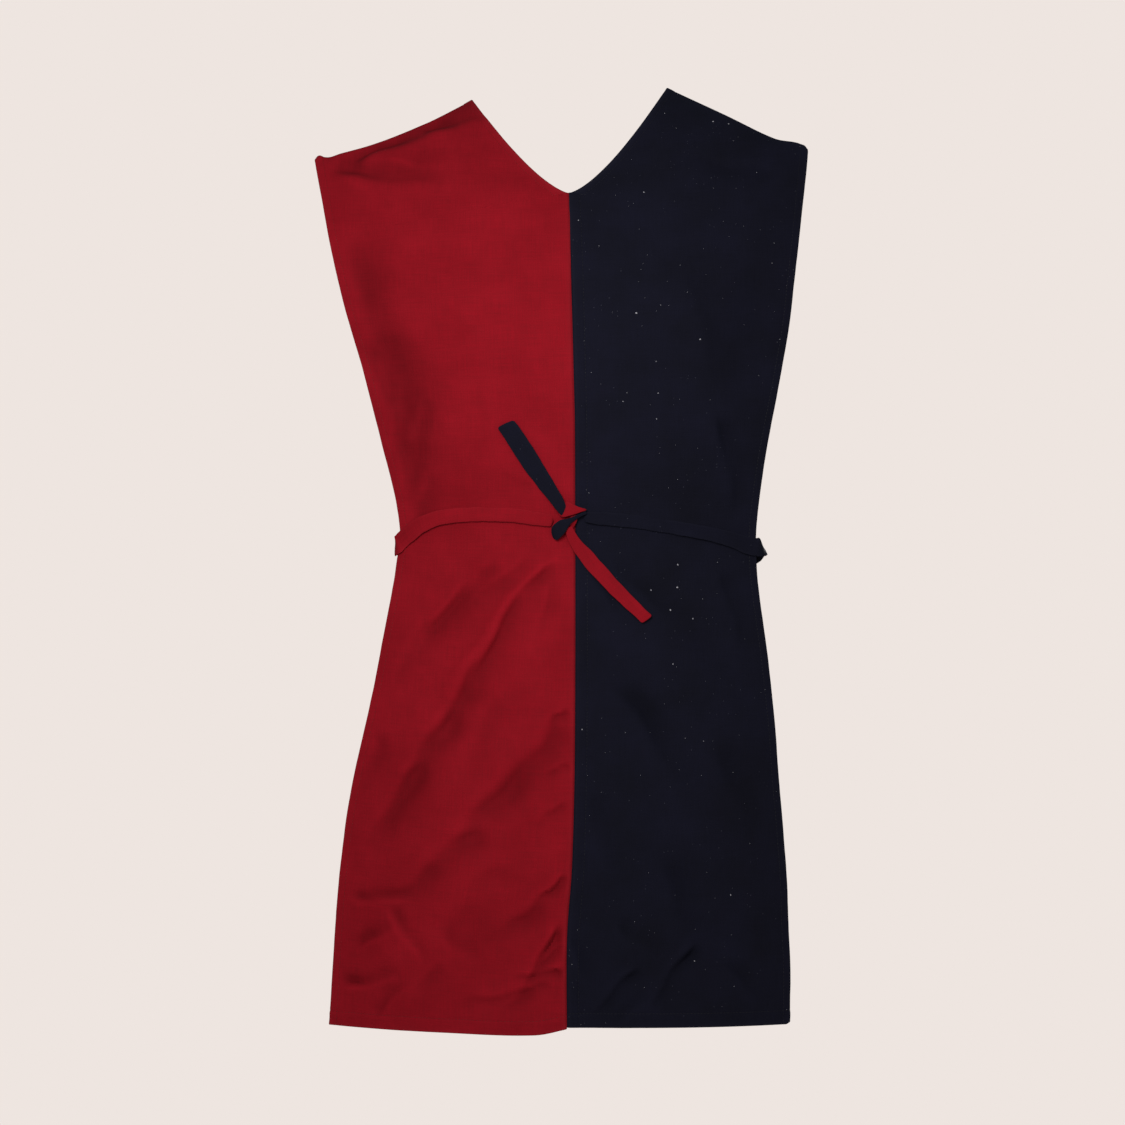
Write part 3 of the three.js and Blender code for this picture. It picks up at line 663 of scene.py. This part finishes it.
def spun_thread(name, colour):
    """Spun polyester sewing thread: a slight gloss with fine twisted bands across it."""
    material, tree = new_material(name)
    place = add(tree, "ShaderNodeTexCoord", {})
    twist = add(tree, "ShaderNodeTexWave", {"Vector": place.outputs["Object"], "Scale": 900.0,
                                            "Distortion": 1.5})
    bump = add(tree, "ShaderNodeBump", {"Height": twist.outputs["Fac"], "Strength": 0.4,
                                        "Distance": 0.0001})
    thread = add(tree, "ShaderNodeBsdfPrincipled", {
        "Base Color": linear(colour), "Roughness": 0.55, "Normal": bump.outputs[0],
        "Specular IOR Level": 0.3})
    add(tree, "ShaderNodeOutputMaterial", {"Surface": thread.outputs[0]})
    return material


THREAD = {"red": spun_thread("crimson_thread", "7C0D16"), "dark": spun_thread("black_thread", "15151E")}


def line_at(values, level, points, normals):
    """Where a grid of distances reaches a level: a point and its outward normal on each row."""
    line = []
    for row, near in enumerate(values):
        order = np.argsort(near)
        column = np.interp(level, near[order], order.astype(float))
        at = np.arange(len(near))
        line.append([np.interp(column, at, grid[row, :, k]) for grid in (points, normals)
                     for k in range(3)])
    return np.array(line)


def stitch_places(line):
    """Middle, direction and outward normal of every stitch along a line."""
    lengths = steps(line[:, :3], 0)
    middles = np.arange(STITCH_PITCH, lengths[-1] - STITCH_PITCH / 2, STITCH_PITCH)

    def at(spots):
        return np.stack([np.interp(spots, lengths, line[:, k]) for k in range(6)], axis=1)

    before, here, after = (at(middles + d) for d in (-STITCH_LONG / 2, 0, STITCH_LONG / 2))
    for first, middle, last in zip(before, here, after):
        way, out = last[:3] - first[:3], middle[3:]
        way /= np.linalg.norm(way)
        out = out - way * (out @ way)
        yield middle[:3], way, out / np.linalg.norm(out)


def place_copies(name, base, placings, material):
    """Copies of one small shape, each moved and turned to its place, joined into one piece."""
    copies = []
    for place, way, out, size in placings:
        copy = base.copy()
        turned = np.stack([np.cross(out, way), out, way], axis=1) * size
        copy.matrix_world = Matrix([[*turned[k], place[k] * MM] for k in range(3)] + [[0, 0, 0, 1]])
        scene.collection.objects.link(copy)
        copies.append(copy)
    copies[0].data = base.data.copy()
    with bpy.context.temp_override(active_object=copies[0], object=copies[0],
                                   selected_objects=copies, selected_editable_objects=copies):
        bpy.ops.object.join()
    joined = copies[0]
    joined.name = name
    joined.data.name = name
    bpy.ops.object.select_all(action="DESELECT")
    joined.select_set(True)
    bpy.context.view_layer.objects.active = joined
    bpy.ops.object.transform_apply(location=True, rotation=True, scale=True)
    joined.data.materials.append(material)
    bpy.ops.object.shade_smooth()
    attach(joined, "root")
    return joined


bpy.ops.object.select_all(action="DESELECT")
bpy.ops.mesh.primitive_uv_sphere_add(segments=6, ring_count=4, radius=1, location=(0, 0, 0))
stitch = bpy.context.object
stitch.scale = (THREAD_THICK / 2 * MM, THREAD_THICK / 2 * MM, STITCH_LONG / 2 * MM)
bpy.ops.object.transform_apply(location=True, rotation=True, scale=True)

for (face, half), panel in panels.items():
    _, points, normals, from_inner, from_side, from_hem, zone = panel
    neck_rows = zone[:, 0] < 1
    lines = [
        line_at(from_side, SIDE_HEM, points, normals),
        line_at(from_hem.T, BOTTOM_HEM, points.transpose(1, 0, 2), normals.transpose(1, 0, 2)),
        line_at(from_inner, NECK_HEM, points, normals)[neck_rows],
    ]
    if half == "dark":
        lines.append(line_at(from_inner, TOPSTITCH, points, normals)[~neck_rows])
    placings = [(place + out * 0.05, way, out, 1) for line in lines
                for place, way, out in stitch_places(line)]
    face_name = "front" if face == FRONT else "back"
    sewn = place_copies(f"{face_name}_{half}_stitches", stitch, placings, THREAD[half])
bpy.data.objects.remove(stitch, do_unlink=True)

# ---- The lint on the dark halves
# Pale cotton lint and dust that near-black cloth always picks up: a few tufts under a millimetre
# across on the front, and a scatter of finer specks on both faces.

# the tufts: x, z and width
LINT = [
    (144, -30, 1.3), (158, -33, 1.1), (72, -109, 1.0), (8.5, -136, 0.8), (64, -229.5, 1.4),
    (126, -253, 1.2), (84, -276, 0.7), (106, -472, 1.2), (80, -494, 1.1), (105.5, -494, 1.3),
    (99, -515, 1.3), (121, -524, 1.1), (156, -791, 1.0), (86, -304, 0.8), (52, -314, 0.8),
    (85, -330, 0.8), (12, -630, 0.9), (100, -566, 0.9), (122, -854, 0.9),
]
# finer specks on each face
SPECKS = 130


def cotton_lint():
    """Loose cotton fluff: off-white, matt, so thin that the dark cloth dims it."""
    material, tree = new_material("cotton_lint")
    place = add(tree, "ShaderNodeTexCoord", {})
    patch = add(tree, "ShaderNodeTexNoise", {"Vector": place.outputs["Object"], "Scale": 60.0})
    tone = add(tree, "ShaderNodeMix", {
        0: patch.outputs["Fac"], 6: linear("6C6C78"), 7: linear("C6C4C8")}, data_type="RGBA")
    fluff = add(tree, "ShaderNodeBsdfPrincipled", {"Base Color": tone.outputs[2], "Roughness": 0.95,
                                                   "Specular IOR Level": 0.1})
    add(tree, "ShaderNodeOutputMaterial", {"Surface": fluff.outputs[0]})
    return material


LINT_FLUFF = cotton_lint()
bpy.ops.object.select_all(action="DESELECT")
bpy.ops.mesh.primitive_ico_sphere_add(subdivisions=1, radius=0.5, location=(0, 0, 0))
tuft = bpy.context.object
tuft.scale = (MM, 0.45 * MM, 1.35 * MM)
bpy.ops.object.transform_apply(location=True, rotation=True, scale=True)
for face in (FRONT, BACK):
    _, points, normals, from_inner, from_side, from_hem, _ = panels[face, "dark"]
    draw = np.random.default_rng(17 + face)
    placings = []
    spots = [(*np.unravel_index(np.argmin(np.hypot(points[..., 0] - x, points[..., 2] - z)),
                                from_side.shape), width) for x, z, width in LINT if face == FRONT]
    for _ in range(SPECKS):
        row, column = (int(draw.integers(4, count - 4)) for count in from_side.shape)
        spots.append((row, column, 0.28 + 0.3 * draw.random() ** 3))
    for row, column, width in spots:
        out = normals[row, column]
        way = np.cross(out, draw.normal(size=3))
        way /= np.linalg.norm(way)
        placings.append((points[row, column] + out * 0.1 * width, way, out, 1.3 * width))
    place_copies("front_lint" if face == FRONT else "back_lint", tuft, placings,
                              LINT_FLUFF)
bpy.data.objects.remove(tuft, do_unlink=True)

# ---- The two waist ties
# Each is a canvas strip with its edges folded in, pressed flat and stitched, sewn to the outside of
# the back. It comes round its side clear of the cloth and lies across the front to the knot, its
# lower edge standing off a little.

TIE_THICK = 2.2
# how far a tie stands off the cloth
TIE_CLEAR = 1.0
# middle line over the front: x, z, width
BELT_LINES = {
    "red": [
        (-15, -428.5, 10), (-27, -426.5, 12.5), (-40, -424.5, 13), (-62, -422, 13.5),
        (-105, -422, 14), (-127, -425, 14.5), (-143, -431, 16), (-157, -441, 18),
    ],
    "dark": [
        (14, -424, 9), (28, -425.5, 12), (48, -427, 12.5), (79, -431, 12.5), (105, -435, 13),
        (134, -440, 13.5), (160, -446.5, 15.5), (175, -452, 17.5),
    ],
}
# side: how far out it swings, its height there, where it is sewn on, that height, width, and how
# far its upper edge leans in, in radians
BELT_SIDES = {"red": (167.8, -455, 146, -461, 19, 0.25), "dark": (192.8, -456.5, 162, -462, 19, 0.6)}
# share of its width that a tie loses where it crosses the open side, pulled taut
SIDE_PINCH = 0.4
# steps round a strip's section
ROUND = 28


def smooth_path(points, count):
    """Even steps along a smooth line through points of any number of columns."""
    points = np.array(points, float)
    ends = [2 * points[0] - points[1], *points, 2 * points[-1] - points[-2]]
    line = []
    for a, b, c, d in zip(ends, ends[1:], ends[2:], ends[3:]):
        t0, t1, t2 = (max(np.linalg.norm(q - p), 1e-6) ** 0.5 for p, q in ((a, b), (b, c), (c, d)))
        start = ((b - a) / t0 - (c - a) / (t0 + t1) + (c - b) / t1) * t1
        end = ((c - b) / t1 - (d - b) / (t1 + t2) + (d - c) / t2) * t1
        for t in np.linspace(0, 1, 20, endpoint=False):
            bend = (3 * (c - b) - 2 * start - end) * t ** 2 + (start + end - 2 * (c - b)) * t ** 3
            line.append(b + start * t + bend)
    line = np.array(line + [points[-1]])
    lengths = np.concatenate([[0], np.cumsum(np.linalg.norm(np.diff(line, axis=0), axis=1))])
    even = np.linspace(0, lengths[-1], count + 1)
    return np.stack([np.interp(even, lengths, line[:, k]) for k in range(line.shape[1])], axis=1)


def tie_section():
    """A folded strip's section, once round: across from -0.5 to 0.5, and up from 0 to 1."""
    turn = np.linspace(0, 2 * np.pi, ROUND + 1)
    across = 0.5 * np.sign(np.cos(turn)) * np.abs(np.cos(turn)) ** 0.55
    up = 0.5 + 0.5 * np.sign(np.sin(turn)) * np.abs(np.sin(turn)) ** 0.75
    across[-1], up[-1] = across[0], up[0]
    return across, up


ACROSS, UP = tie_section()


def ring_on_cloth(first, second, lifts, thick):
    """A section whose edges stand at two places (x, z) of the front, at lifts above the canvas."""
    share = ACROSS + 0.5
    x = first[0] + (second[0] - first[0]) * share
    z = first[1] + (second[1] - first[1]) * share
    lift = lifts[0] + (lifts[1] - lifts[0]) * share
    flat = np.stack([x, cloth_y(FRONT, x, z), z], axis=1)
    return flat + cloth_normal(FRONT, x, z) * (lift + UP * thick)[:, None]


def tie_piece(name, half, rings, wrinkle, seed):
    """A closed flat tube through rings, with soft wrinkles and both ends shut."""
    rings = np.array(rings)
    middle = rings[:, :-1].mean(axis=1, keepdims=True)
    out = rings - middle
    out /= np.maximum(np.linalg.norm(out, axis=-1, keepdims=True), 1e-6)
    along = steps(middle, 0)
    around = steps(rings, 1)
    waves = unevenness(np.repeat(along, rings.shape[1], axis=1), around, seed, 9, 26)
    waves[:, -1] = waves[:, 0]
    rings = rings + wrinkle * waves[..., None] * out
    for end in (0, -1):
        rings[end] = rings[end].mean(axis=0)
    uvs = np.stack([around, np.repeat(along, rings.shape[1], axis=1)], axis=-1)
    worn = 0.3 * (2 * np.abs(ACROSS)) ** 8 * np.ones_like(around)
    piece = grid_piece(name, rings, uvs, {"wear": worn}, False)
    bpy.ops.object.mode_set(mode="EDIT")
    bpy.ops.mesh.select_all(action="SELECT")
    bpy.ops.mesh.remove_doubles(threshold=0.00001)
    bpy.ops.mesh.normals_make_consistent(inside=False)
    bpy.ops.object.mode_set(mode="OBJECT")
    bpy.ops.object.shade_smooth_by_angle(angle=math.radians(60))
    piece.data.materials.append(CANVAS[half])
    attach(piece, "root")
    return piece


# Rounds off a strip's end: distance from the end in mm, then shares of its width and thickness
END_CAP = [(0, 0.5, 0.05), (0.35, 0.74, 0.55), (1.0, 0.88, 0.86), (2.2, 0.97, 1)]


def edge_strip(rows, count):
    """Rings of a strip on the front through rows of both edges (x, z, lift) and its thickness."""
    path = smooth_path(rows, count)
    middle = (path[:, 0:2] + path[:, 3:5]) / 2
    lengths = steps(middle, 0)
    rings = []
    places = [d for d, _, _ in END_CAP]
    total = lengths[-1]
    spots = sorted({*places, *(total - p for p in places), *lengths[(lengths > 3)
                                                                   & (lengths < total - 3)]})
    for spot in spots:
        row = np.array([np.interp(spot, lengths, path[:, k]) for k in range(7)])
        near = min(spot, total - spot)
        wide = np.interp(near, places, [w for _, w, _ in END_CAP])
        thick = np.interp(near, places, [t for _, _, t in END_CAP])
        centre, half_span = (row[0:2] + row[3:5]) / 2, (row[3:5] - row[0:2]) / 2
        sink = (1 - thick) * row[6] / 2
        rings.append(ring_on_cloth(centre - half_span * wide, centre + half_span * wide,
                                   (row[2] + sink, row[5] + sink), row[6] * thick))
    return rings


def belt_rings(half):
    """Rings of a tie's stretch round the waist, from the knot to where it is sewn to the back. They
    follow the canvas while the tie lies on it, and hang free where it crosses the open side."""
    side = HALVES[half][0]
    swing, height, sewn, sewn_height, width, leaning = BELT_SIDES[half]
    line = BELT_LINES[half]

    def lifted(face, x, z):
        at = np.array([x, float(cloth_y(face, x, z)), z])
        return at + cloth_normal(face, np.array(x, float), np.array(z, float)) * TIE_CLEAR

    past = abs(float(edge_x(half, np.array(float(height))))) + 0.8
    guide = [lifted(FRONT, x, z) for x, z, _ in line]
    guide += [lifted(FRONT, side * past, height + 3), np.array([side * swing, -16, height]),
              np.array([side * swing, 16, height - 1]), lifted(BACK, side * past, sewn_height),
              lifted(BACK, side * sewn, sewn_height)]
    path = smooth_path(guide, 150)
    ways = np.gradient(path, axis=0)
    ways /= np.linalg.norm(ways, axis=1, keepdims=True)
    rings = []
    for point, way in zip(path, ways):
        face = FRONT if point[1] < 0 else BACK
        edge = float(edge_x(half, point[2]))
        rim = abs(float(cloth_y(face, edge, point[2])))
        if side * point[0] < abs(edge) + 0.5 and abs(point[1]) > rim - 0.5:
            normal = cloth_normal(face, point[0], point[2])
            across = np.cross(normal, way)
            across /= np.linalg.norm(across)
            wide = float(read([(x, w) for x, _, w in line], 1, point[0])) if face == FRONT else width
            x = point[0] + across[0] * ACROSS * wide
            z = point[2] + across[2] * ACROSS * wide
            low = np.clip(0.5 - np.sign(across[2]) * ACROSS, 0, 1)
            lift = 1.3 * low if face == FRONT else TIE_CLEAR
            flat = np.stack([x, cloth_y(face, x, z), z], axis=1)
            swell = 0.3 + 0.9 * smooth_step(low * 1.6) if face == FRONT else 1
            rings.append(flat + cloth_normal(face, x, z) * (lift + UP * TIE_THICK * swell)[:, None])
        else:
            out = np.array([way[1], -way[0], 0]) * side
            out /= np.linalg.norm(out)
            across = np.cross(out, way)
            turned = max(0, math.cos(math.pi * point[1] / 100))
            lean = leaning * turned * np.sign(across[2])
            wide = width * (1 - SIDE_PINCH * turned)
            flat_way = across * math.cos(lean) - out * math.sin(lean)
            thick_way = out * math.cos(lean) + across * math.sin(lean)
            rings.append(point + np.outer(ACROSS * wide, flat_way)
                         + np.outer(UP * TIE_THICK, thick_way))
    return rings


for half in ("red", "dark"):
    rings = belt_rings(half)
    belt = tie_piece(f"belt_{half}_tie", half, rings, 0.16, 41)
    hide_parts(f"belt_{half}")

# ---- The half knot and the two free ends
# The ties cross once in front, left over right, and are pulled tight: the dark one wraps over the
# crimson one, whose corner stands out above it. The dark end runs up to the wearer's right and the
# crimson end down to the left. Both ends are folded in and cut square.

# upper edge (x, z, lift), lower edge (x, z, lift), thickness
RED_CORNER = [
    (-7.5, -411.5, 2.6, -11, -420.5, 2.6, 1.8), (-1.5, -408.6, 4.6, -6.5, -424.2, 5.0, 2.2),
    (4, -410.9, 5.6, 0, -422.9, 6.4, 2.4), (9, -413.5, 5.2, 7, -420.6, 6.2, 2.2),
    (13.6, -415.6, 4.2, 13, -418.4, 4.8, 1.8), (16.6, -416.6, 3.0, 16.4, -417.7, 3.2, 1.3),
]
RED_UNDER = [
    (0.5, -423, 3.4, 8.5, -421, 3.4, 1.8), (1, -428, 4.4, 7.8, -426.6, 4.0, 2.0),
    (0.5, -433, 3.4, 5.6, -432.4, 2.6, 1.8), (-2, -438, 2.2, 2, -437.6, 2.0, 1.4),
]
DARK_WRAP = [
    (-17.6, -439, 1.0, -16, -444.4, 1.0, 1.8), (-16.8, -433.8, 3.4, -12.6, -447, 3.0, 2.8),
    (-9, -426.9, 6.2, -4.6, -440.4, 6.0, 3.4), (-1, -424.6, 7.2, 0.4, -432, 6.8, 3.2),
    (5.5, -422.6, 6.4, 6, -426.8, 5.6, 2.6), (11, -419.9, 4.6, 12, -423.4, 4.0, 2.2),
    (16, -418.2, 2.2, 17.4, -421.6, 2.0, 1.8),
]
DARK_TAIL = [
    (-1.8, -415.4, 5.0, -6.4, -423.6, 5.0, 1.8), (-3.4, -411, 5.4, -10, -419.8, 5.4, 2.0),
    (-6.4, -404.6, 4.0, -16.2, -412.4, 4.0, 2.2), (-10.4, -397.4, 2.6, -22, -405.2, 2.4, 2.2),
    (-14.8, -390, 1.6, -27.6, -398.6, 1.4, 2.2), (-19.6, -382, 1.4, -33.2, -391.8, 0.9, 2.1),
    (-25, -373, 1.5, -39.6, -383.6, 0.9, 2.1), (-28.8, -366.4, 1.2, -45, -375.8, 1.0, 2.2),
    (-35.6, -355.6, 1.0, -52.4, -364.6, 1.2, 2.3), (-42.6, -345, 1.4, -58.8, -354.2, 1.4, 2.3),
    (-50.6, -333.8, 2.4, -66.6, -341.8, 2.0, 2.2), (-53, -330.2, 3.0, -69.2, -337.6, 2.6, 2.0),
]
RED_TAIL = [
    (2.6, -432, 4.8, -3.4, -435, 4.8, 1.8), (5.4, -438.5, 4.6, -2.4, -443.6, 4.4, 2.0),
    (13, -448.4, 3.0, 3.2, -456, 2.6, 2.2), (19.2, -454.6, 1.8, 8.2, -463, 1.4, 2.2),
    (30, -466.6, 1.3, 18, -476.4, 1.0, 2.1), (40.8, -479.2, 1.2, 29.4, -488.4, 1.0, 2.1),
    (51.9, -491.5, 1.5, 41, -500.6, 1.3, 2.1), (63.2, -503.8, 2.0, 53.2, -512.2, 1.8, 2.1),
    (74.6, -515.4, 2.8, 65.4, -523.4, 2.2, 2.2), (80, -520.6, 3.2, 70, -528, 2.6, 2.2),
]
KNOT = [
    # name, colour, node, rows, steps, width and length when flat, how it is held
    ("knot_red_corner", "red", "knot_red", RED_CORNER, 34, (0.011, 0.028), "folded"),
    ("knot_red_under", "red", None, RED_UNDER, 16, (0.01, 0.012), "folded"),
    ("knot_dark_wrap", "dark", "knot_dark", DARK_WRAP, 44, (0.011, 0.042), "folded"),
    ("tail_dark_end", "dark", "tail_dark", DARK_TAIL, 90, (0.016, 0.106), "hung"),
    ("tail_red_end", "red", "tail_red", RED_TAIL, 90, (0.013, 0.115), "hung"),
]
for name, half, node, rows, count, flat, held in KNOT:
    strip = tie_piece(name, half, edge_strip(rows, count), 0.12, 50 + len(name))
    if node:
        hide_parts(node)
